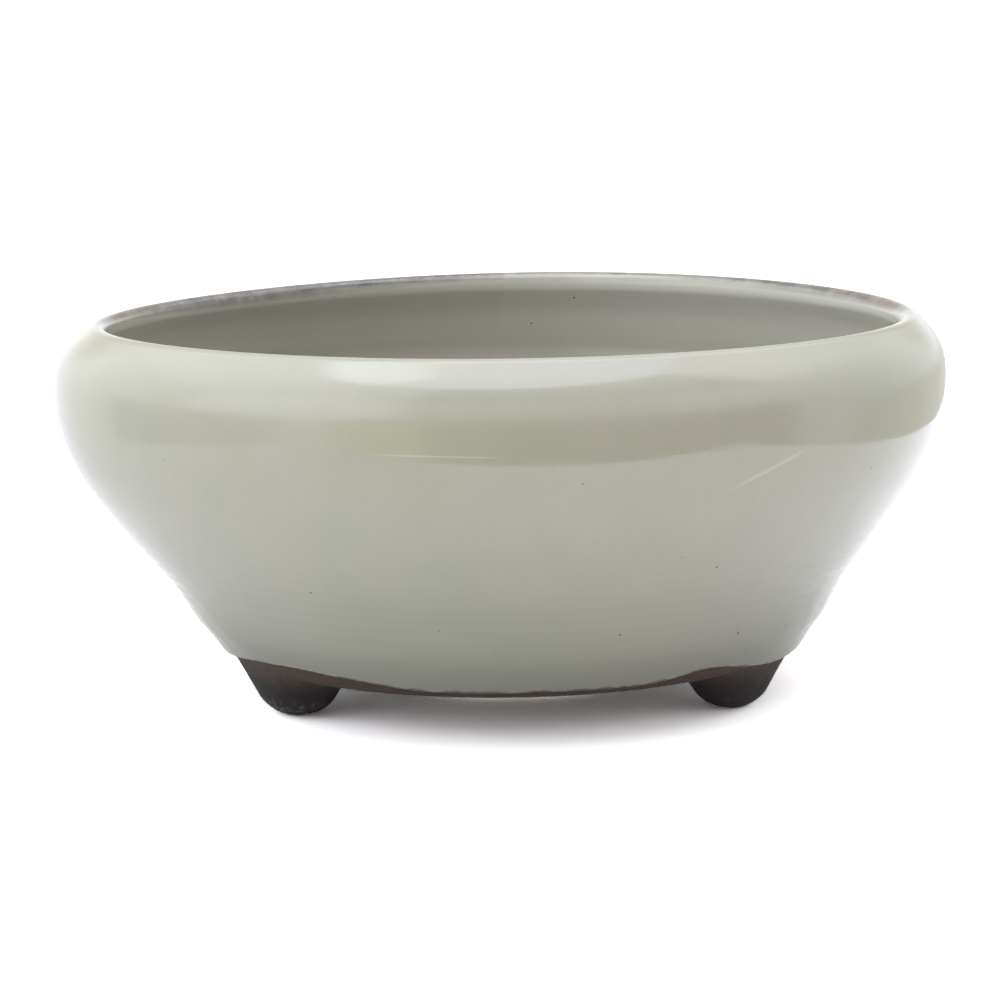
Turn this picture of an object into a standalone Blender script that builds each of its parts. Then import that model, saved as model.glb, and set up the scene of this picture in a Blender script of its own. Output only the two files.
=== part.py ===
"""A round bonsai pot: an incurved clay bowl on three clay feet, under a coat of pale celadon glaze.

Units are metres, +Z is up. The origin lies on the ground, in the middle of the ring of feet, and the
pot's front faces -Y. Lengths below are in millimetres and are turned into metres by MM.
"""

import bmesh
import bpy
from mathutils import Vector, geometry
from math import cos, pi, radians, sin

MM = 0.001

# Driving dimensions, in millimetres.
BELLY_RADIUS = 90.0          # widest ring of the glazed pot
BELLY_HEIGHT = 62.5          # height of that ring above the ground
LIP_RADIUS = 82.0            # crest of the lip
RIM_HEIGHT = 76.6            # crest of the lip above the ground
BASE_RADIUS = 57.0           # lower edge of the bare clay base
BASE_HEIGHT = 9.6            # underside of the bowl, which is also the height of the feet
BASE_EDGE_REACH = 1.2        # the base's lower edge slopes out by this much
BASE_EDGE_RISE = 0.4         # and up by this much
GLAZE_EDGE_RADIUS = 60.1     # lowest ring of the glaze on the outside
GLAZE_EDGE_HEIGHT = 10.8
WALL = 4.8                   # whole wall, with its glaze on both sides
FLOOR = 6.0
FLOOR_ROUNDING = 4.0         # inside corner between the floor and the wall
GLAZE = 0.7                  # thickness of the glaze coat
GAP = 0.3                    # clearance between separate solids
INNER_GLAZE_HEIGHT = 42.0    # the glaze runs down the inside to here
DRAIN_RADIUS = 11.0
WIRE_HOLE_RADIUS = 2.0
WIRE_HOLE_OFFSET = 30.0      # each tie-wire hole from the pot's axis

# The wall leans out at WALL_LEAN above the base and leans in at LIP_LEAN under the lip. The pulls
# say how far each end of a curve keeps its direction, as a share of that curve's height.
WALL_LEAN = radians(33)
LIP_LEAN = radians(45)
WALL_PULL = 0.57
BELLY_PULL_BELOW = 0.35
BELLY_PULL_ABOVE = 0.57
LIP_PULL = 0.32

# Feet: each one is a sector of a turned ring, narrowed downwards, with round lower edges and a
# small flat to stand on. The flares are the lean of its faces from the vertical.
FOOT_ANGLES = {"foot_front_left": -60, "foot_front_right": 60, "foot_rear": 180}
FOOT_TOP_OUTER = 56.6
FOOT_TOP_INNER = 42.0
FOOT_TOP_WIDTH = 36.0
FOOT_FLAT_OUTER = 51.0
FOOT_FLAT_INNER = 46.5
FOOT_FLAT_WIDTH = 7.0
FOOT_ROUNDING = 4.0          # lower edges on the outer and the inner face
FOOT_SIDE_ROUNDING = 5.5     # lower edges on the two sides
FOOT_OUTER_FLARE = radians(16)
FOOT_INNER_FLARE = radians(5)
FOOT_SIDE_FLARE = radians(52)

CUTTER_REACH = 10.0          # a cutter runs this far past what it cuts
CUTTER_DROP = 0.2            # the foot cutters end this far below the ground
SEAM = 0.05                  # points closer than this are joined where a turned shape closes

TURN_STEPS = 48
WALL_POINTS = 7
SHOULDER_POINTS = 5
LIP_POINTS = 5
ROUND_POINTS = 4
FLOOR_POINTS = 2
HOLE_SIDES = 16
SHARP_ANGLE = radians(35)

CLAY_COLOUR = (0.052, 0.036, 0.030, 1.0)
CLAY_ROUGHNESS = 0.75
GLAZE_COLOUR = (0.52, 0.54, 0.46, 1.0)
GLAZE_ROUGHNESS = 0.12


def clear_scene():
    for obj in list(bpy.data.objects):
        bpy.data.objects.remove(obj, do_unlink=True)


def new_collection(name):
    collection = bpy.data.collections.new(name)
    bpy.context.scene.collection.children.link(collection)
    return collection


def material(name, colour, roughness):
    made = bpy.data.materials.new(name)
    made.use_nodes = True
    shader = made.node_tree.nodes["Principled BSDF"]
    shader.inputs["Base Color"].default_value = colour
    shader.inputs["Roughness"].default_value = roughness
    shader.inputs["Metallic"].default_value = 0.0
    return made


def add_object(name, mesh, collection, skin=None):
    obj = bpy.data.objects.new(name, mesh)
    collection.objects.link(obj)
    if skin:
        mesh.materials.append(skin)
    return obj


def bezier(start, start_handle, end_handle, end, count):
    """Points from start to end, both included."""
    corners = [Vector((point[0], point[1], 0)) for point in (start, start_handle, end_handle, end)]
    return [Vector((point.x, point.y)) for point in geometry.interpolate_bezier(*corners, count)]


LEAN = Vector((sin(WALL_LEAN), cos(WALL_LEAN)))
INWARD = Vector((-sin(LIP_LEAN), cos(LIP_LEAN)))


def outer_line():
    """The glazed outside of the wall as (radius, height), from the glaze's lower edge up to the lip."""
    low = Vector((GLAZE_EDGE_RADIUS, GLAZE_EDGE_HEIGHT))
    belly = Vector((BELLY_RADIUS, BELLY_HEIGHT))
    top = lip_centre() + Vector((INWARD.y, -INWARD.x)) * WALL / 2
    rise = BELLY_HEIGHT - GLAZE_EDGE_HEIGHT
    shoulder = top.y - BELLY_HEIGHT
    wall_handles = (low + LEAN * WALL_PULL * rise, belly - Vector((0, BELLY_PULL_BELOW * rise)))
    bend_handles = (belly + Vector((0, BELLY_PULL_ABOVE * shoulder)), top - INWARD * LIP_PULL * shoulder)
    wall = bezier(low, *wall_handles, belly, WALL_POINTS)
    bend = bezier(belly, *bend_handles, top, SHOULDER_POINTS)
    return wall + bend[1:]


def lip_centre():
    return Vector((LIP_RADIUS, RIM_HEIGHT - WALL / 2))


def inset(line, depth):
    """The line moved into the wall by depth, along its own normals."""
    middle = [(after - before).normalized() for before, after in zip(line, line[2:])]
    directions = [LEAN] + middle + [INWARD]
    return [point + Vector((-along.y, along.x)) * depth for point, along in zip(line, directions)]


def full_arc(centre, radius, start, end, count):
    """Points on a circle about centre: the start angle, count points between, and the end angle."""
    step = (end - start) / (count + 1)
    angles = [start + step * index for index in range(count + 2)]
    return [centre + Vector((cos(angle), sin(angle))) * radius for angle in angles]


def arc(centre, radius, start, end, count):
    """The same stretch of the circle, without its two ends."""
    return full_arc(centre, radius, start, end, count)[1:-1]


def lip_arc(depth, count=LIP_POINTS):
    """The round lip, from its inner side over the crest to its outer side, depth below the glaze's face."""
    return arc(lip_centre(), WALL / 2 - depth, pi + LIP_LEAN, LIP_LEAN, count)


def above(line, height):
    """The stretch of a rising line from the given height up, with a point exactly at that height."""
    for index in range(1, len(line)):
        if line[index].y > height:
            low, high = line[index - 1], line[index]
            share = (height - low.y) / (high.y - low.y)
            return [low.lerp(high, share)] + line[index:]
    raise ValueError("the line ends below the height")


def clay_outline():
    """The bowl's cross-section as one loop: floor, inside, lip, outside, underside and drain hole."""
    depth = GLAZE + GAP
    floor_height = BASE_HEIGHT + FLOOR
    outside = inset(outer_line(), depth)
    inside = above(inset(outer_line(), WALL - depth), floor_height + FLOOR_ROUNDING)
    corner = Vector((inside[0].x - FLOOR_ROUNDING, floor_height))
    loop = [Vector((DRAIN_RADIUS, floor_height)), corner]
    loop += arc(corner + Vector((0, FLOOR_ROUNDING)), FLOOR_ROUNDING, -pi / 2, 0, FLOOR_POINTS)
    loop += inside
    loop += lip_arc(depth)
    loop += reversed(outside)
    loop += [Vector((BASE_RADIUS + BASE_EDGE_REACH, BASE_HEIGHT + BASE_EDGE_RISE))]
    loop += [Vector((BASE_RADIUS, BASE_HEIGHT)), Vector((DRAIN_RADIUS, BASE_HEIGHT))]
    return loop


def glaze_outline():
    """The glaze coat's cross-section: its face, then its back against the clay."""
    face_in = above(inset(outer_line(), WALL), INNER_GLAZE_HEIGHT)
    back_in = above(inset(outer_line(), WALL - GLAZE), INNER_GLAZE_HEIGHT)
    face = face_in + lip_arc(0) + list(reversed(outer_line()))
    back = back_in + lip_arc(GLAZE) + list(reversed(inset(outer_line(), GLAZE)))
    return face + list(reversed(back))


def turned(name, outline, collection, skin=None):
    """A closed cross-section turned about the pot's axis."""
    mesh = bpy.data.meshes.new(name)
    points = [(point.x * MM, 0.0, point.y * MM) for point in outline]
    edges = [(index, (index + 1) % len(points)) for index in range(len(points))]
    mesh.from_pydata(points, edges, [])
    obj = add_object(name, mesh, collection, skin)
    screw = obj.modifiers.new("turn", "SCREW")
    screw.steps = TURN_STEPS
    screw.render_steps = TURN_STEPS
    screw.use_merge_vertices = True
    screw.merge_threshold = SEAM * MM
    return obj


def smooth(obj):
    """Shades the finished shape smooth, apart from its crisp edges."""
    graph = bpy.context.evaluated_depsgraph_get()
    finished = bpy.data.meshes.new_from_object(obj.evaluated_get(graph), depsgraph=graph)
    obj.modifiers.clear()
    obj.data = finished
    finished.shade_smooth()
    finished.set_sharp_from_angle(angle=SHARP_ANGLE)


def cutter(name, mesh, collection):
    obj = add_object(name, mesh, collection)
    obj.hide_render = True
    obj.display_type = "WIRE"
    return obj


def boolean(obj, other, operation):
    modifier = obj.modifiers.new(other.name, "BOOLEAN")
    modifier.operation = operation
    modifier.object = other


def wire_hole_drill(side, offset, cutters):
    builder = bmesh.new()
    radius = WIRE_HOLE_RADIUS * MM
    depth = (FLOOR + 2 * CUTTER_REACH) * MM
    bmesh.ops.create_cone(
        builder, cap_ends=True, segments=HOLE_SIDES, radius1=radius, radius2=radius, depth=depth
    )
    mesh = bpy.data.meshes.new("wire_hole_" + side)
    builder.to_mesh(mesh)
    builder.free()
    drill = cutter("wire_hole_" + side, mesh, cutters)
    drill.location = (offset * MM, 0, (BASE_HEIGHT + FLOOR / 2) * MM)
    return drill


def make_bowl(parts, cutters, clay):
    bowl = turned("bowl", clay_outline(), parts, clay)
    for side, offset in (("left", -WIRE_HOLE_OFFSET), ("right", WIRE_HOLE_OFFSET)):
        boolean(bowl, wire_hole_drill(side, offset, cutters), "DIFFERENCE")


def foot_ring_outline():
    """The foot's section through the pot's axis: its top, its outer face, the flat and its inner face."""
    top = BASE_HEIGHT - GAP
    outer = Vector((FOOT_FLAT_OUTER, FOOT_ROUNDING))
    inner = Vector((FOOT_FLAT_INNER, FOOT_ROUNDING))
    loop = [Vector((FOOT_TOP_INNER, top)), Vector((FOOT_TOP_OUTER, top))]
    loop += full_arc(outer, FOOT_ROUNDING, -FOOT_OUTER_FLARE, -pi / 2, ROUND_POINTS)
    loop += full_arc(inner, FOOT_ROUNDING, -pi / 2, FOOT_INNER_FLARE - pi, ROUND_POINTS)
    return loop


def foot_front_outline():
    """The foot's outline seen from outside the pot: wide at the top and round at the lower corners."""
    half_flat = FOOT_FLAT_WIDTH / 2
    centre = Vector((half_flat, FOOT_SIDE_ROUNDING))
    right = [Vector((half_flat, -CUTTER_DROP))]
    right += full_arc(centre, FOOT_SIDE_ROUNDING, -pi / 2, -FOOT_SIDE_FLARE, ROUND_POINTS)
    right += [Vector((FOOT_TOP_WIDTH / 2, BASE_HEIGHT))]
    left = [Vector((-point.x, point.y)) for point in reversed(right)]
    return right + left


def prism(name, outline, near, far, collection):
    """An outline in the (Y, Z) plane, extruded along X from near to far."""
    builder = bmesh.new()
    corners = [builder.verts.new((near * MM, point.x * MM, point.y * MM)) for point in outline]
    face = builder.faces.new(corners)
    pulled = bmesh.ops.extrude_face_region(builder, geom=[face])["geom"]
    moved = [item for item in pulled if isinstance(item, bmesh.types.BMVert)]
    bmesh.ops.translate(builder, verts=moved, vec=((far - near) * MM, 0, 0))
    bmesh.ops.recalc_face_normals(builder, faces=builder.faces)
    mesh = bpy.data.meshes.new(name)
    builder.to_mesh(mesh)
    builder.free()
    return cutter(name, mesh, collection)


def make_feet(parts, cutters, clay):
    near = FOOT_TOP_INNER - CUTTER_REACH
    far = FOOT_TOP_OUTER + CUTTER_REACH
    for name, angle in FOOT_ANGLES.items():
        foot = turned(name, foot_ring_outline(), parts, clay)
        front = prism(name + "_front", foot_front_outline(), near, far, cutters)
        # The prism lies along +X, and the pot's front faces -Y.
        front.rotation_euler.z = radians(angle - 90)
        boolean(foot, front, "INTERSECT")


def main():
    clear_scene()
    parts = new_collection("bonsai_pot")
    cutters = new_collection("cutters")
    clay = material("clay", CLAY_COLOUR, CLAY_ROUGHNESS)
    glaze = material("glaze", GLAZE_COLOUR, GLAZE_ROUGHNESS)
    make_bowl(parts, cutters, clay)
    turned("glaze_coat", glaze_outline(), parts, glaze)
    make_feet(parts, cutters, clay)
    bpy.context.view_layer.update()
    for obj in parts.objects:
        smooth(obj)


main()
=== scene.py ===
"""Looks of a celadon bonsai pot: a hand-thrown bowl under a glossy glaze, on three feet of bare clay.

Metres, +Z up, the pot's front faces -Y. Angles round the pot are counted from the front towards +X.
"""

import random
from math import atan2, cos, pi, radians, sin

import bmesh
import bpy
import numpy as np
from mathutils import Euler, Matrix, Vector, noise


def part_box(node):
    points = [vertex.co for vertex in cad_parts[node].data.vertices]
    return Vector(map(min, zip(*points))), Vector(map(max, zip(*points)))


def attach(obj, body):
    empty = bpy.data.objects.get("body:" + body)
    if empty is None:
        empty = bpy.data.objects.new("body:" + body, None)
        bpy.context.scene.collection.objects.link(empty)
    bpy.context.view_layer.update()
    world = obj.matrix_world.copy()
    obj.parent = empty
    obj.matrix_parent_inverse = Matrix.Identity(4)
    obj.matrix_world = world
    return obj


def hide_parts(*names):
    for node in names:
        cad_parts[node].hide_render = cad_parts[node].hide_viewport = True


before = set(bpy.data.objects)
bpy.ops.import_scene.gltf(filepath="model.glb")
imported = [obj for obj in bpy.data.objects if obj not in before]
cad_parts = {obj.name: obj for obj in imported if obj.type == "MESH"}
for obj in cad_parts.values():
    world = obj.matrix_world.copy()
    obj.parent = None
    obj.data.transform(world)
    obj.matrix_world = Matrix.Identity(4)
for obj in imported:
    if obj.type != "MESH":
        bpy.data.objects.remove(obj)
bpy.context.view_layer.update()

MM = 0.001

glaze_low, glaze_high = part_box("glaze_coat")
bowl_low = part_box("bowl")[0]

# Sizes from the frame.
BELLY = glaze_high[0]
RIM = glaze_high[2]
BASE = bowl_low[2]
GLAZE_EDGE = glaze_low[2]
FEET = ("foot_front_left", "foot_front_right", "foot_rear")

# Section of the wall, as in the CAD.
BELLY_HEIGHT = 62.5 * MM
LIP_RADIUS = 82.0 * MM
EDGE_RADIUS = 60.1 * MM
BASE_RADIUS = 57.0 * MM
WALL = 4.8 * MM
FLOOR = 6.0 * MM
GLAZE = 0.7 * MM
WALL_LEAN = radians(33)
LIP_LEAN = radians(45)
WALL_PULL = 0.57
BELLY_PULL_BELOW = 0.35
BELLY_PULL_ABOVE = 0.57
LIP_PULL = 0.32
FLOOR_ROUNDING = 4.0 * MM
INNER_GLAZE_HEIGHT = 42.0 * MM
DRAIN_RADIUS = 11.0 * MM
WIRE_HOLE_RADIUS = 2.0 * MM
WIRE_HOLE_OFFSET = 30.0 * MM

# What throwing by hand left. The bowl leans to the left of its base, less so above the belly.
# The lip rises and falls: each wave is its height in mm, how many go round, and its phase.
SIDE_LEAN = -0.034
LIP_LEAN_BACK = 1.4 * MM
LIP_WAVES = ((0.08, 1, -1.57), (0.46, 2, 2.14), (0.16, 3, -1.25))

# The glaze was wiped back where a foot was luted on, so its lower edge stands higher there:
# each rise is its middle in degrees, its half width in degrees, and its height in mm.
EDGE_RISES = ((-52, 16, 1.6), (-38, 18, 2.3), (38, 9, 2.0), (66, 13, -1.3), (176, 20, 1.9), (8, 40, 0.4))

# Pinholes, where gas broke out of the glaze in the kiln: degrees round the pot, height and width in mm.
PINHOLES_OUTSIDE = (
    (-29, 32, 0.42), (17, 23, 0.40), (40, 20, 0.55), (53, 19, 0.42), (45, 15, 0.36), (29, 36, 0.46),
    (23, 39, 0.26), (51, 52, 0.34), (54, 49, 0.30), (56, 34, 0.24), (9, 55, 0.26), (-44, 57, 0.28),
    (-11, 25, 0.26),
)
PINHOLES_INSIDE = ((-161, 73, 0.50), (168, 71, 0.40), (175, 65, 0.40), (-102, 72, 0.50))
MORE_PINHOLES = 34
PINHOLE_SEED = 11
PINHOLE_SIDES = 12
PINHOLE_LIFT = 0.03 * MM

# Pale marks on the belly: one end and the other in degrees round the pot and height in mm, then the mark's
# half width in mm and its strength. The first is a pale scuff; the second is a painted highlight, a thin
# glint of light drawn as a bright line.
SCUFF_AND_HIGHLIGHT = (
    ((26.5, 51.5), (38.5, 58.3), 0.60, 0.26),
    ((-16, 60.7), (1, 60.1), 0.28, 0.30),
)
MARK_POINTS = 7

# A foot: half its width and its reach from the pot's axis, on the ground and where it meets the bowl.
# It runs a little way up into the bowl, where the two clays were luted together.
FOOT_HALF = (5.3 * MM, 17.6 * MM)
FOOT_OUTER = (55.1 * MM, 59.1 * MM)
FOOT_INNER = (43.9 * MM, 43.0 * MM)
FOOT_ROUNDING = 3.8 * MM
FOOT_SQUARENESS = 2.4
FOOT_LUTE = 2.4 * MM
LUMP_SEED = 11

# The room's own light, and patches laid over it one after another: middle azimuth and half width in
# degrees, lowest and highest elevation in degrees, softness of the edges in degrees, and brightness.
ROOM = (1.24, 1.25, 1.29)
ROOM_PATCHES = (
    (180, 32, 10, 66, 8, (0.60, 0.50, 0.40)),
    (-50, 36, 8, 40, 7, (2.20, 2.22, 2.36)),
    (10, 34, 8, 36, 7, (0.95, 0.88, 0.90)),
    (-85, 30, -30, 6, 7, (0.52, 0.53, 0.60)),
    (20, 58, -30, 9, 7, (0.22, 0.15, 0.02)),
    (-31, 13, -30, 9, 3, (1.20, 1.07, 0.48)),
    (135, 34, -30, 0, 3, (0.92, 0.90, 0.82)),
    (28, 55, 36, 65, 8, (0.03, 0.03, 0.03)),
    (115, 34, 36, 66, 8, (1.90, 1.90, 1.90)),
    (-112, 34, 36, 66, 8, (1.78, 1.80, 1.90)),
    (0, 181, 65, 91, 1.5, (2.85, 2.90, 3.60)),
    (-110, 60, 67, 80, 6, (3.30, 3.40, 3.70)),
    (-85, 28, 66, 79, 3, (4.80, 5.00, 5.70)),
)
BACKDROP = 1.5

# The white paper under the pot. It is overexposed to the camera and grey where it lights the pot. Its
# mirror image in the glaze brightens between the two PAPER_SHINE values as x goes over PAPER_FALL. Its
# front edge is slanted: PAPER_FRONT is where it stands on the left and on the right.
OVEREXPOSURE = 2.9
PAPER_BOUNCE = 0.70
PAPER_SHINE = (0.90, 1.60)
PAPER_FALL = (-0.16, 0.08)
PAPER_FRONT = (-0.27, -0.185)
PAPER_BACK = 0.60
PAPER_LEFT = -0.27
PAPER_RIGHT = 0.235
PAPER_GAP = 0.05 * MM

# The camera: focal length in mm, place, and its tilt below level and roll in degrees.
LENS = 112.3
CAMERA_PLACE = (-0.0249 * BELLY, -7.0 * BELLY, BASE + 1.46 * BELLY)
CAMERA_TILT = 9.29
CAMERA_ROLL = -0.97

# How finely the round pieces are divided.
TURN_STEPS = 540
BOWL_STEPS = 240
FOOT_STEPS = 120
FOOT_RINGS = 44
PAD_RINGS = 8


# ---------------------------------------------------------------- section lines

def bezier(start, start_handle, end_handle, end, count):
    t = np.linspace(0, 1, count)[:, None]
    s = 1 - t
    points = [np.array(point) for point in (start, start_handle, end_handle, end)]
    return s**3 * points[0] + 3 * s * s * t * points[1] + 3 * s * t * t * points[2] + t**3 * points[3]


def lip_centre():
    """The middle of the lip's round edge, as radius and height."""
    return np.array([LIP_RADIUS, RIM - WALL / 2])


def outer_line(count=150):
    """The outside of the wall, from the glaze's lower edge to the lip, as rows of radius and height."""
    lean = np.array([sin(WALL_LEAN), cos(WALL_LEAN)])
    inward = np.array([-sin(LIP_LEAN), cos(LIP_LEAN)])
    low = np.array([EDGE_RADIUS, GLAZE_EDGE])
    belly = np.array([BELLY, BELLY_HEIGHT])
    top = lip_centre() + np.array([inward[1], -inward[0]]) * WALL / 2
    rise = BELLY_HEIGHT - GLAZE_EDGE
    shoulder = top[1] - BELLY_HEIGHT
    wall_handles = low + lean * WALL_PULL * rise, belly - (0, BELLY_PULL_BELOW * rise)
    bend_handles = belly + (0, BELLY_PULL_ABOVE * shoulder), top - inward * LIP_PULL * shoulder
    wall = bezier(low, *wall_handles, belly, count)
    bend = bezier(belly, *bend_handles, top, count // 2)
    return np.vstack([wall, bend[1:]])


def inset(line, depth):
    """A line moved into the wall by a depth."""
    along = np.gradient(line, axis=0)
    along /= np.linalg.norm(along, axis=1)[:, None]
    return line + np.stack([-along[:, 1], along[:, 0]], axis=1) * depth


def arc(centre, radius, start, end, count):
    angles = np.linspace(start, end, count + 2)[1:-1]
    return np.asarray(centre) + np.stack([np.cos(angles), np.sin(angles)], axis=1) * radius


def lip_arc(depth, count=40):
    return arc(lip_centre(), WALL / 2 - depth, pi + LIP_LEAN, LIP_LEAN, count)


# ---------------------------------------------------------------- turned meshes

def bell(value, middle, width):
    return np.exp(-(((value - middle) / width) ** 2))


def warp(radius, height, turn):
    """Where a point of the true turned shape lies on the hand-thrown pot.

    knee: a fuller line just above the base. rings: faint throwing rings. oval: the rim's slight oval.
    fuller: a rounder shoulder over a slimmer wall. fan: fine ridges in the wall above each foot.
    """
    up = np.clip((height - BASE) / (RIM - BASE), 0, 1)
    wave = sum(size * np.sin(count * turn + phase) for size, count, phase in LIP_WAVES)
    knee = bell(height, 17.6 * MM, 3.0 * MM) - bell(height, 26.0 * MM, 4.0 * MM)
    rings = np.sin(height / MM * 2.6 + 1.5 * np.sin(turn)) * bell(up, 0.25, 0.15)
    oval = up * np.cos(2 * turn - 0.5)
    fuller = bell(height, 71 * MM, 6 * MM) - bell(height, 40 * MM, 16 * MM)
    over_foot = np.clip(np.cos(3 * (turn - pi / 3)), 0, 1) ** 6 * bell(height, 20 * MM, 6 * MM)
    fan = over_foot * (0.22 + 0.05 * np.sin(48 * turn + height / MM * 0.35))
    radius = radius + (0.40 * knee + 0.035 * rings + 0.18 * oval + 0.30 * fuller + fan) * MM
    x = radius * np.sin(turn) + SIDE_LEAN * (height - BASE) + LIP_LEAN_BACK * up**12
    y = -radius * np.cos(turn)
    return x, y, height + up**8 * wave * MM


def add(name, data):
    obj = bpy.data.objects.new(name, data)
    bpy.context.scene.collection.objects.link(obj)
    return obj


def turned(name, outline, material, steps=TURN_STEPS, shift=None):
    """A closed section turned about the pot's axis. shift(radius, height, turn) moves its points."""
    rows = len(outline)
    turn = np.arange(steps) * (2 * pi / steps)
    radius = np.repeat(outline[:, :1], steps, axis=1)
    height = np.repeat(outline[:, 1:], steps, axis=1)
    angle = np.repeat(turn[None, :], rows, axis=0)
    if shift is not None:
        radius, height = shift(radius, height, angle)
    points = np.stack(warp(radius, height, angle), axis=-1).reshape(-1, 3)
    row, column = np.meshgrid(np.arange(rows), np.arange(steps), indexing="ij")
    row_next = (row + 1) % rows
    column_next = (column + 1) % steps
    corners = [row * steps + column, row_next * steps + column]
    corners += [row_next * steps + column_next, row * steps + column_next]
    faces = np.stack(corners, axis=-1).reshape(-1, 4)
    mesh = bpy.data.meshes.new(name)
    mesh.from_pydata(points.tolist(), [], faces.tolist())
    mesh.validate()
    mesh.shade_smooth()
    mesh.materials.append(material)
    return add(name, mesh)


def put_attribute(obj, name, values):
    layer = obj.data.attributes.new(name, "FLOAT", "POINT")
    layer.data.foreach_set("value", np.asarray(values, dtype=np.float32).ravel())


# ---------------------------------------------------------------- shader helpers

class Nodes:
    """A short way to write the nodes of a material or of the world."""

    def __init__(self, owner, shader="Principled BSDF", place="Object"):
        owner.use_nodes = True
        self.owner = owner
        self.tree = owner.node_tree
        self.shader = self.tree.nodes[shader]
        self.place = self.new("ShaderNodeTexCoord").outputs[place]

    def new(self, kind, **settings):
        node = self.tree.nodes.new(kind)
        for key, value in settings.items():
            setattr(node, key, value)
        return node

    def feed(self, socket, value):
        if hasattr(value, "is_output"):
            self.tree.links.new(value, socket)
        else:
            socket.default_value = value

    def noise(self, scale, detail=3.0, roughness=0.5, vector=None):
        node = self.new("ShaderNodeTexNoise")
        self.feed(node.inputs["Vector"], vector or self.place)
        node.inputs["Scale"].default_value = scale
        node.inputs["Detail"].default_value = detail
        node.inputs["Roughness"].default_value = roughness
        return node.outputs["Fac"]

    def cells(self, scale):
        node = self.new("ShaderNodeTexVoronoi")
        self.feed(node.inputs["Vector"], self.place)
        node.inputs["Scale"].default_value = scale
        return node.outputs["Distance"]

    def stretch(self, factors):
        node = self.new("ShaderNodeVectorMath", operation="MULTIPLY")
        self.feed(node.inputs[0], self.place)
        node.inputs[1].default_value = factors
        return node.outputs["Vector"]

    def math(self, operation, first, second=0.5):
        node = self.new("ShaderNodeMath", operation=operation)
        self.feed(node.inputs[0], first)
        self.feed(node.inputs[1], second)
        return node.outputs["Value"]

    def span(self, value, low, high, to_low=0.0, to_high=1.0):
        node = self.new("ShaderNodeMapRange", interpolation_type="SMOOTHSTEP")
        self.feed(node.inputs["Value"], value)
        node.inputs["From Min"].default_value = low
        node.inputs["From Max"].default_value = high
        node.inputs["To Min"].default_value = to_low
        node.inputs["To Max"].default_value = to_high
        return node.outputs["Result"]

    def blend(self, amount, first, second):
        node = self.new("ShaderNodeMix", data_type="RGBA")
        self.feed(node.inputs[0], amount)
        self.feed(node.inputs[6], first)
        self.feed(node.inputs[7], second)
        return node.outputs[2]

    def attribute(self, name):
        return self.new("ShaderNodeAttribute", attribute_name=name).outputs["Fac"]

    def axis(self, name):
        split = self.new("ShaderNodeSeparateXYZ")
        self.feed(split.inputs["Vector"], self.place)
        return split.outputs[name]

    def away_from(self, azimuth):
        """The angle round the pot, either way, from an azimuth counted from the front."""
        level = self.new("ShaderNodeVectorMath", operation="NORMALIZE")
        self.feed(level.inputs[0], self.stretch((1, 1, 0)))
        along = self.new("ShaderNodeVectorMath", operation="DOT_PRODUCT")
        self.feed(along.inputs[0], level.outputs["Vector"])
        along.inputs[1].default_value = (sin(azimuth), -cos(azimuth), 0)
        return self.math("ARCCOSINE", along.outputs["Value"])

    def distance(self, start, end):
        """How far a place lies from the line between two places, and from 0 to 1 how far along it."""
        whole = end - start
        offset = self.new("ShaderNodeVectorMath", operation="SUBTRACT")
        self.feed(offset.inputs[0], self.place)
        offset.inputs[1].default_value = start
        reach = self.new("ShaderNodeVectorMath", operation="DOT_PRODUCT")
        self.feed(reach.inputs[0], offset.outputs["Vector"])
        reach.inputs[1].default_value = whole / whole.length_squared
        cross = self.new("ShaderNodeVectorMath", operation="CROSS_PRODUCT")
        self.feed(cross.inputs[0], offset.outputs["Vector"])
        cross.inputs[1].default_value = whole.normalized()
        length = self.new("ShaderNodeVectorMath", operation="LENGTH")
        self.feed(length.inputs[0], cross.outputs["Vector"])
        return length.outputs["Value"], reach.outputs["Value"]

    def stripe(self, path, width):
        """1 along a mark that follows a path of places, fading to 0 at its sides and towards its ends."""
        mark = 0.0
        for start, end in zip(path, path[1:]):
            away, reach = self.distance(start, end)
            begun = self.span(reach, -0.02, 0.0)
            within = self.math("MULTIPLY", begun, self.span(reach, 1.0, 1.02, 1.0, 0.0))
            side = self.span(away, 0.0, width, 1.0, 0.0)
            mark = self.math("MAXIMUM", self.math("MULTIPLY", side, within), mark)
        reach = self.distance(path[0], path[-1])[1]
        fade = self.math("MULTIPLY", self.span(reach, 0.0, 0.35), self.span(reach, 0.75, 1.0, 1.0, 0.0))
        return self.math("MULTIPLY", mark, fade)

    def bump(self, value, depth, below=None):
        node = self.new("ShaderNodeBump")
        self.feed(node.inputs["Height"], value)
        node.inputs["Distance"].default_value = depth
        if below:
            self.feed(node.inputs["Normal"], below)
        return node.outputs["Normal"]


def colour(red, green, blue):
    return (red, green, blue, 1.0)


def grey(value):
    return colour(value, value, value)


# ---------------------------------------------------------------- materials

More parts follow.
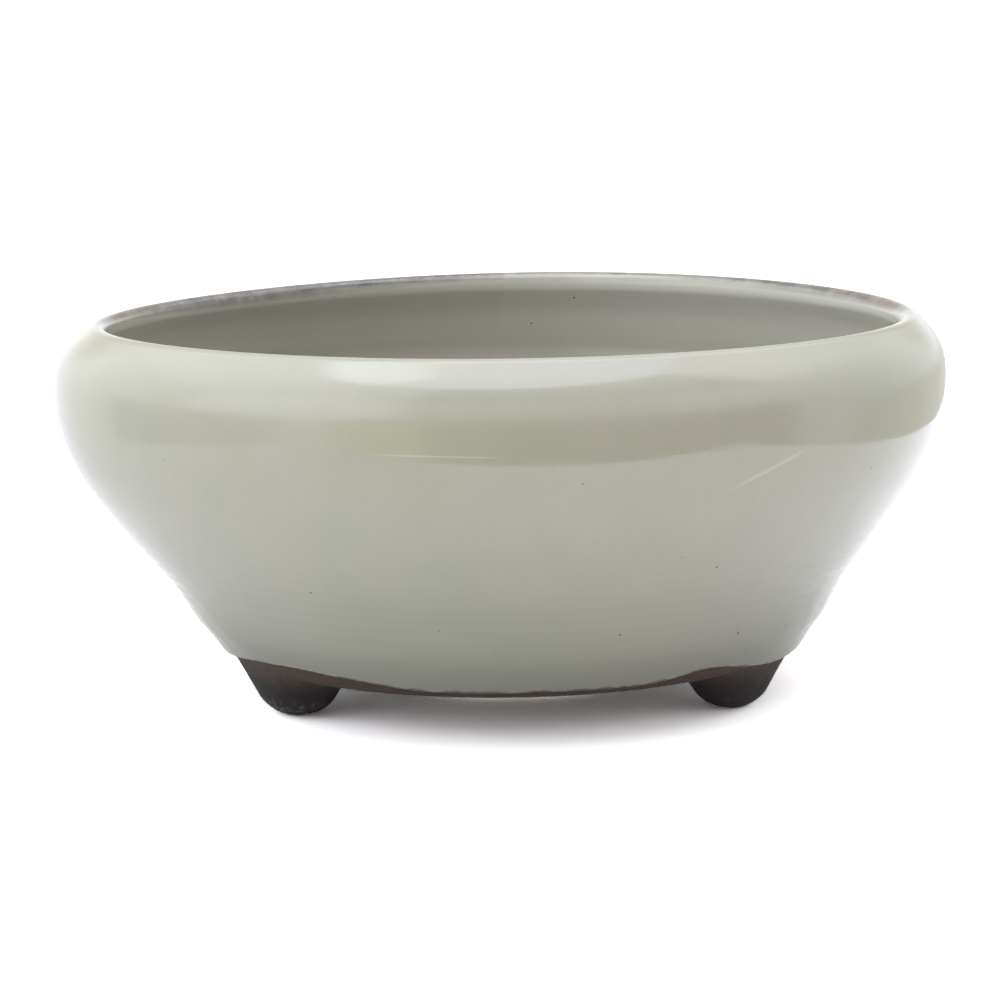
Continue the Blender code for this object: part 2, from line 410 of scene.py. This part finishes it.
def glaze_material():
    """Glossy pale celadon: clouded grey-green, brown where it runs thin over the lip and at its edge, with
    painted shade low on the wall that also stands for pooled glaze, painted light inside under the lip and a
    painted highlight line on the belly.
    """
    n = Nodes(bpy.data.materials.new("glaze"))
    cloud = n.span(n.noise(16, 4, 0.55), 0.35, 0.65)
    body = n.blend(cloud, colour(0.45, 0.459, 0.362), colour(0.49, 0.489, 0.407))
    pool = n.span(n.noise(70, 3, 0.6, n.stretch((1, 1, 0.4))), 0.42, 0.72)
    body = n.blend(n.math("MULTIPLY", pool, 0.35), body, colour(0.425, 0.45, 0.355))
    # Painted light: the glaze inside under the lip, where the overhanging wall is in shade, is painted near
    # white.
    body = n.blend(n.attribute("inside"), body, colour(0.80, 0.81, 0.76))
    # Painted shade: the glaze low on the wall and above the feet is painted darker, standing also for glaze
    # pooled thick there.
    body = n.blend(n.attribute("pool_and_painted_shade"), body, colour(0.215, 0.225, 0.185))
    worn = n.math("MULTIPLY", n.attribute("lip"), n.span(n.noise(190, 4, 0.65), 0.25, 0.75, 0.45, 1.0))
    body = n.blend(worn, body, colour(0.135, 0.118, 0.122))
    speckle = n.span(n.noise(1500, 3, 0.7), 0.35, 0.65, 0.0, 0.10)
    body = n.blend(speckle, body, colour(0.33, 0.34, 0.285))
    thin = n.attribute("thin")
    ragged = n.math("ADD", thin, n.span(n.noise(240, 3, 0.6), 0.3, 0.7, -0.28, 0.28))
    rust = n.span(ragged, 0.35, 0.95)
    # A pale scuff, then a painted highlight: a thin bright glint of light painted along the belly.
    for first, last, width, strength in SCUFF_AND_HIGHLIGHT:
        steps = np.linspace(first, last, MARK_POINTS)
        path = [on_wall(outer_line(), radians(turn), height * MM) for turn, height in steps]
        mark = n.math("MULTIPLY", n.stripe(path, width * MM), strength)
        body = n.blend(mark, body, colour(0.85, 0.85, 0.80))
    body = n.blend(rust, body, colour(0.115, 0.080, 0.082))
    n.feed(n.shader.inputs["Base Color"], body)
    n.feed(n.shader.inputs["Roughness"], n.span(n.noise(55, 4, 0.6), 0.3, 0.7, 0.07, 0.13))
    n.shader.inputs["IOR"].default_value = 1.52
    ripple = n.bump(n.noise(26, 3, 0.55), 0.16 * MM)
    marks = n.bump(n.noise(40, 3, 0.6, n.stretch((0.25, 0.25, 14))), 0.018 * MM, ripple)
    n.feed(n.shader.inputs["Normal"], n.bump(n.noise(420, 2, 0.5), 0.006 * MM, marks))
    return n.owner


def clay_material():
    """Dark iron-rich stoneware: rusty next to the glaze, nearly black lower down, with fine grog."""
    n = Nodes(bpy.data.materials.new("clay"))
    height = n.axis("Z")
    flash = n.span(height, BASE - 4 * MM, BASE + 2 * MM)
    mottle = n.noise(260, 5, 0.65)
    dark = n.blend(n.span(mottle, 0.3, 0.7), colour(0.009, 0.008, 0.008), colour(0.022, 0.017, 0.015))
    rusty = n.blend(n.span(mottle, 0.3, 0.7), colour(0.046, 0.030, 0.023), colour(0.090, 0.060, 0.046))
    body = n.blend(flash, dark, rusty)
    grog = n.span(n.cells(900), 0.05, 0.16, 1.0, 0.0)
    body = n.blend(n.math("MULTIPLY", grog, 0.5), body, colour(0.13, 0.11, 0.095))
    rubbed = n.span(n.noise(800, 5, 0.75, n.stretch((1, 1, 0.5))), 0.47, 0.66)
    low = n.span(height, 2.2 * MM, 5.0 * MM, 1.0, 0.0)
    left = n.span(n.axis("X"), -38 * MM, -20 * MM, 0.42, 0.06)
    body = n.blend(n.math("MULTIPLY", n.math("MULTIPLY", rubbed, low), left), body, colour(0.42, 0.40, 0.40))
    n.feed(n.shader.inputs["Base Color"], body)
    n.feed(n.shader.inputs["Roughness"], n.span(mottle, 0.3, 0.7, 0.55, 0.80))
    n.shader.inputs["Specular IOR Level"].default_value = 0.3
    coarse = n.bump(n.noise(150, 4, 0.6), 0.25 * MM)
    n.feed(n.shader.inputs["Normal"], n.bump(n.noise(1600, 4, 0.7), 0.14 * MM, coarse))
    return n.owner


def pinhole_material():
    """The bare clay at the bottom of a pinhole, mottled in dark browns."""
    n = Nodes(bpy.data.materials.new("pinhole"))
    body = n.blend(n.noise(2500, 2), colour(0.015, 0.012, 0.011), colour(0.05, 0.04, 0.035))
    n.feed(n.shader.inputs["Base Color"], body)
    n.feed(n.shader.inputs["Roughness"], n.span(n.noise(1800), 0.3, 0.7, 0.3, 0.5))
    return n.owner


def floor_material():
    """White paper, overexposed where the camera sees it and grey where its light reaches the pot."""
    n = Nodes(bpy.data.materials.new("paper"))
    path = n.new("ShaderNodeLightPath").outputs
    grain = n.noise(300, 4, 0.6)
    shine = n.span(n.axis("X"), *PAPER_FALL, *PAPER_SHINE)
    lit = n.blend(path["Is Diffuse Ray"], shine, grey(PAPER_BOUNCE))
    lit = n.blend(path["Is Camera Ray"], lit, grey(OVEREXPOSURE))
    paper = n.blend(grain, grey(0.90), grey(0.93))
    product = n.new("ShaderNodeMix", data_type="RGBA", blend_type="MULTIPLY")
    product.inputs[0].default_value = 1.0
    n.feed(product.inputs[6], paper)
    n.feed(product.inputs[7], lit)
    n.feed(n.shader.inputs["Base Color"], product.outputs[2])
    n.shader.inputs["Roughness"].default_value = 0.9
    n.shader.inputs["Specular IOR Level"].default_value = 0.1
    return n.owner


# ---------------------------------------------------------------- the pieces

def edge_rise(turn):
    """How far the glaze's lower edge stands above its lowest ring, round the pot."""
    turn = np.mod(turn + pi, 2 * pi) - pi
    rise = 0.16 * np.sin(3 * turn + 0.4) + 0.10 * np.sin(11 * turn + 1.0) + 0.06 * np.sin(23 * turn)
    for middle, width, size in EDGE_RISES:
        away = np.mod(turn - radians(middle) + pi, 2 * pi) - pi
        rise = rise + size * bell(away, 0, radians(width))
    return rise * MM


def edge_shift(radius, height, turn):
    """Draws the glaze up the wall to its wandering lower edge, and less and less above it."""
    along = edge_rise(turn) * np.exp(-np.clip(height - GLAZE_EDGE, 0, None) / (8 * MM))
    return radius + along * sin(WALL_LEAN), height + along * cos(WALL_LEAN)


def lip_band(outline, turn):
    """How thin the glaze ran over the lip, from 0 to 1. The thin band is widest at the back left."""
    away = outline - lip_centre()
    rise = np.degrees(np.arctan2(away[:, 1], away[:, 0]))
    rise = np.mod(rise, 360)[:, None]
    near = (np.hypot(away[:, 0], away[:, 1]) < WALL * 0.6)[:, None]
    turn = np.degrees(np.mod(turn + pi, 2 * pi) - pi)[None, :]
    width = 26 + 58 * bell(turn, -135, 40) + 34 * bell(turn, 112, 30)
    start = np.clip((rise - 76) / 18, 0, 1)
    end = np.clip((96 + width - rise) / 40 + 0.5, 0, 1)
    back = 0.3 + 0.7 * np.clip((np.abs(turn) - 70) / 20, 0, 1)
    return start * end * near * back


def pooling_and_shade(outline, turn):
    """How much painted shade darkens the glaze low on the wall, from 0 to 1, standing also for glaze pooled
    thick there. It is darkest above the feet.
    """
    above = np.clip(outline[:, 1:] - GLAZE_EDGE, 0, None)
    over_foot = np.clip(np.cos(3 * (turn - pi / 3)), 0, 1)[None, :] ** 2
    outside = (outline[:, :1] > EDGE_RADIUS - GLAZE) & (above < BELLY_HEIGHT - GLAZE_EDGE)
    return (0.74 + 0.20 * over_foot) * np.exp(-((above / (13 * MM)) ** 1.4)) * outside


def inner_painted_light(outline, turn):
    """How much painted light brightens the glaze inside, under the overhanging lip that leaves it in shade,
    from 0 to 1. It is brightest towards the right.
    """
    height = outline[:, 1:] / MM
    high = np.clip((height - 61) / 11, 0, 1) * np.clip((75 - height) / 1.5, 0, 1)
    degrees = np.degrees(np.mod(turn + pi, 2 * pi) - pi)[None, :]
    crest = int(outline[:, 1].argmax())
    wall = (np.arange(len(outline)) < crest)[:, None]
    return high * wall * np.clip(0.75 + 0.25 * bell(degrees, 130, 50), 0, 1)


def make_glaze(material):
    """The glaze as one closed skin, with the places where it is thin, where painted shade and pooled glaze
    darken it low on the wall, and where painted light brightens it inside under the lip.
    """
    outside = outer_line()
    inside = inset(outside, WALL)
    inside = inside[inside[:, 1] > INNER_GLAZE_HEIGHT]
    back_out = inset(outside, GLAZE)[::6]
    back_in = inset(outside, WALL - GLAZE)
    back_in = back_in[back_in[:, 1] > INNER_GLAZE_HEIGHT][::6]
    edge_centre = (outside[0] + back_out[0]) / 2
    rounding = arc(edge_centre, GLAZE / 2, -WALL_LEAN, -WALL_LEAN - pi, 4)
    face = np.vstack([inside, lip_arc(0), outside[::-1], rounding])
    back = np.vstack([back_out, lip_arc(GLAZE, 8)[::-1], back_in[::-1]])
    outline = np.vstack([face, back])
    obj = turned("glazed_skin", outline, material, shift=edge_shift)
    turn = np.arange(TURN_STEPS) * (2 * pi / TURN_STEPS)
    low = np.exp(-np.clip(outline[:, 1] - GLAZE_EDGE, 0, None) / (0.5 * MM)) * (outline[:, 0] < BELLY * 0.7)
    put_attribute(obj, "thin", np.repeat(0.75 * low[:, None], TURN_STEPS, axis=1))
    put_attribute(obj, "lip", lip_band(outline, turn))
    put_attribute(obj, "pool_and_painted_shade", pooling_and_shade(outline, turn))
    put_attribute(obj, "inside", inner_painted_light(outline, turn))
    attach(obj, "root")
    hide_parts("glaze_coat")


def on_wall(line, turn, height, lift=0.0):
    """A point of the hand-thrown wall, lifted off it by a hair."""
    rising = line[np.argsort(line[:, 1])]
    radius = np.interp(height, rising[:, 1], rising[:, 0]) + lift
    x, y, z = warp(radius, height, turn)
    return Vector((float(x), float(y), float(z)))


def pinhole(builder, line, turn, height, width, lift, draw):
    """A small ragged patch of burnt clay that follows the wall."""
    middle = np.interp(height, *line[np.argsort(line[:, 1])].T[::-1])
    ragged = [draw.uniform(0.7, 1.15) for step in range(PINHOLE_SIDES)]
    rim = []
    for step, size in enumerate(ragged):
        angle = 2 * pi * step / PINHOLE_SIDES
        across = cos(angle) * size * width / 2
        up = sin(angle) * size * width / 2
        rim.append(builder.verts.new(on_wall(line, turn + across / middle, height + up, lift)))
    centre = builder.verts.new(on_wall(line, turn, height, lift * 1.2))
    for step in range(PINHOLE_SIDES):
        builder.faces.new((rim[step], rim[(step + 1) % PINHOLE_SIDES], centre))


def make_pinholes(material):
    """The pinholes in view, and more of their kind round the back and sides."""
    draw = random.Random(PINHOLE_SEED)
    outside = outer_line()
    inside = inset(outside, WALL)
    builder = bmesh.new()
    for turn, height, width in PINHOLES_OUTSIDE:
        pinhole(builder, outside, radians(turn), height * MM, width * MM, PINHOLE_LIFT, draw)
    for turn, height, width in PINHOLES_INSIDE:
        pinhole(builder, inside, radians(turn), height * MM, width * MM, -PINHOLE_LIFT, draw)
    for index in range(MORE_PINHOLES):
        turn = radians(draw.uniform(75, 285))
        height = draw.triangular(16, 66, 22) * MM
        pinhole(builder, outside, turn, height, draw.uniform(0.2, 0.5) * MM, PINHOLE_LIFT, draw)
    bmesh.ops.recalc_face_normals(builder, faces=builder.faces)
    mesh = bpy.data.meshes.new("pinholes")
    builder.to_mesh(mesh)
    builder.free()
    mesh.materials.append(material)
    obj = add("pinholes", mesh)
    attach(obj, "root")


def bowl_outline(depth):
    """The clay under the glaze as one loop: floor, inside, lip, outside, bare base and underside."""
    line = outer_line(40)
    outside = inset(line, depth)
    inside = inset(line, WALL - depth)
    floor_height = BASE + FLOOR
    inside = inside[inside[:, 1] > floor_height + FLOOR_ROUNDING]
    corner = np.array([inside[0, 0] - FLOOR_ROUNDING, floor_height])
    floor = np.stack([np.linspace(DRAIN_RADIUS, corner[0], 30), np.full(30, floor_height)], axis=1)
    fillet = arc(corner + (0, FLOOR_ROUNDING), FLOOR_ROUNDING, -pi / 2, 0, 8)
    end_handle = (BASE_RADIUS + 1 * MM, BASE)
    band = bezier(outside[0], outside[0] - (0.4 * MM, 0.5 * MM), end_handle, (BASE_RADIUS, BASE), 8)
    under = np.stack([np.linspace(BASE_RADIUS, DRAIN_RADIUS, 30), np.full(30, BASE)], axis=1)
    return np.vstack([floor, fillet, inside, lip_arc(depth, 10), outside[::-1], band[1:], under[1:]])


def drill(obj, offset):
    """Cuts a tie-wire hole through the bowl's floor."""
    depth = 4 * FLOOR
    builder = bmesh.new()
    bmesh.ops.create_cone(builder, cap_ends=True, segments=32, radius1=WIRE_HOLE_RADIUS,
                          radius2=WIRE_HOLE_RADIUS, depth=depth)
    mesh = bpy.data.meshes.new("drill")
    builder.to_mesh(mesh)
    builder.free()
    bit = add("drill", mesh)
    bit.location = (offset, 0, BASE + FLOOR / 2)
    cut = obj.modifiers.new("hole", "BOOLEAN")
    cut.operation = "DIFFERENCE"
    cut.object = bit
    graph = bpy.context.evaluated_depsgraph_get()
    finished = bpy.data.meshes.new_from_object(obj.evaluated_get(graph), depsgraph=graph)
    obj.modifiers.clear()
    obj.data = finished
    bpy.data.objects.remove(bit, do_unlink=True)


def make_bowl(material):
    obj = turned("bowl_clay", bowl_outline(0.5 * MM), material, steps=BOWL_STEPS)
    for offset in (-WIRE_HOLE_OFFSET, WIRE_HOLE_OFFSET):
        drill(obj, offset)
    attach(obj, "root")
    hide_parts("bowl")


def foot_section(height):
    """Half width, inner radius and outer radius of a foot at a height."""
    share = height / BASE
    gap = max(FOOT_ROUNDING - height, 0)
    tuck = FOOT_ROUNDING - (FOOT_ROUNDING**2 - gap**2) ** 0.5
    half = FOOT_HALF[0] + (FOOT_HALF[1] - FOOT_HALF[0]) * share - tuck
    inner = FOOT_INNER[0] + (FOOT_INNER[1] - FOOT_INNER[0]) * share + tuck
    outer = FOOT_OUTER[0] + (FOOT_OUTER[1] - FOOT_OUTER[0]) * share - tuck
    return half, inner, outer


def foot_ring(height, azimuth):
    """One level of a foot: a rounded block, bent round the pot's axis."""
    angle = np.arange(FOOT_STEPS) * (2 * pi / FOOT_STEPS)
    power = 2 / FOOT_SQUARENESS
    side = np.sign(np.cos(angle)) * np.abs(np.cos(angle)) ** power
    depth = np.sign(np.sin(angle)) * np.abs(np.sin(angle)) ** power
    half, inner, outer = foot_section(height)
    middle = (inner + outer) / 2
    radius = middle + depth * (outer - inner) / 2
    turn = azimuth + side * half / middle
    return [Vector((r * sin(t), -r * cos(t), height)) for r, t in zip(radius, turn)]


def foot_points(azimuth):
    """A foot's rings from the bowl down to the ground, then the pad it stands on, all a little lumpy."""
    heights = (BASE + FOOT_LUTE) * (1 - np.linspace(0, 1, FOOT_RINGS)) ** 1.3
    points = []
    for height in heights:
        points += foot_ring(height, azimuth)
    last = points[-FOOT_STEPS:]
    centre = sum(last, Vector()) / FOOT_STEPS
    for ring in range(1, PAD_RINGS):
        points += [centre.lerp(point, 1 - ring / PAD_RINGS) for point in last]
    for point in points:
        lump = noise.noise_vector(point * 90) * 0.45 * MM + noise.noise_vector(point * 260) * 0.14 * MM
        share = min(point.z / (2 * MM), 1)
        point += Vector((lump.x, lump.y, lump.z * share * 0.6))
    return points


def make_foot(node, material):
    low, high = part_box(node)
    azimuth = atan2((low[0] + high[0]) / 2, -(low[1] + high[1]) / 2)
    points = foot_points(azimuth)
    rows = len(points) // FOOT_STEPS
    faces = []
    for row in range(rows - 1):
        for step in range(FOOT_STEPS):
            after = (step + 1) % FOOT_STEPS
            here, below = row * FOOT_STEPS, (row + 1) * FOOT_STEPS
            faces.append((here + step, here + after, below + after, below + step))
    mesh = bpy.data.meshes.new(node + "_clay")
    mesh.from_pydata([tuple(point) for point in points], [], faces)
    builder = bmesh.new()
    builder.from_mesh(mesh)
    rims = [edge for edge in builder.edges if edge.is_boundary]
    bmesh.ops.holes_fill(builder, edges=rims, sides=0)
    bmesh.ops.recalc_face_normals(builder, faces=builder.faces)
    builder.to_mesh(mesh)
    builder.free()
    mesh.shade_smooth()
    mesh.materials.append(material)
    obj = add(node + "_clay", mesh)
    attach(obj, "root")
    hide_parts(node)


# ---------------------------------------------------------------- stage, light and camera

def make_floor(material):
    """A flat sheet of paper under the pot. Its edges end the light that the belly mirrors."""
    mesh = bpy.data.meshes.new("paper")
    sides = (PAPER_LEFT, PAPER_RIGHT, PAPER_RIGHT, PAPER_LEFT)
    ends = (*PAPER_FRONT, PAPER_BACK, PAPER_BACK)
    points = [(x, y, -PAPER_GAP) for x, y in zip(sides, ends)]
    mesh.from_pydata(points, [], [(0, 1, 2, 3)])
    mesh.materials.append(material)
    obj = add("paper", mesh)


def make_world():
    """A studio with a bright ceiling and a window on the left. The camera itself sees plain white."""
    world = bpy.data.worlds.new("room")
    bpy.context.scene.world = world
    n = Nodes(world, "Background", "Generated")
    elevation = n.math("ARCSINE", n.axis("Z"))
    room = colour(*ROOM)
    for azimuth, half, low, high, soft, light in ROOM_PATCHES:
        soft = radians(soft)
        beside = n.span(n.away_from(radians(azimuth)), radians(half) - soft, radians(half) + soft, 1.0, 0.0)
        above = n.span(elevation, radians(low) - soft, radians(low) + soft)
        below = n.span(elevation, radians(high) - soft, radians(high) + soft, 1.0, 0.0)
        room = n.blend(n.math("MULTIPLY", beside, n.math("MULTIPLY", above, below)), room, colour(*light))
    seen = n.new("ShaderNodeLightPath").outputs["Is Camera Ray"]
    n.feed(n.shader.inputs["Color"], n.blend(seen, room, grey(BACKDROP)))


def make_camera():
    data = bpy.data.cameras.new("camera")
    obj = add("camera", data)
    data.sensor_width = 36
    data.lens = LENS
    data.clip_start = 0.01
    obj.location = CAMERA_PLACE
    aim = Euler((radians(90 - CAMERA_TILT), 0, 0)).to_matrix()
    roll = Matrix.Rotation(radians(CAMERA_ROLL), 3, "Z")
    obj.rotation_euler = (aim @ roll).to_euler()
    bpy.context.scene.camera = obj


def main():
    noise.seed_set(LUMP_SEED)
    glaze = glaze_material()
    clay = clay_material()
    make_glaze(glaze)
    make_bowl(clay)
    make_pinholes(pinhole_material())
    for node in FEET:
        make_foot(node, clay)
    make_floor(floor_material())
    make_world()
    make_camera()
    scene = bpy.context.scene
    scene.view_settings.view_transform = "Standard"
    scene.view_settings.exposure = 0.0


main()
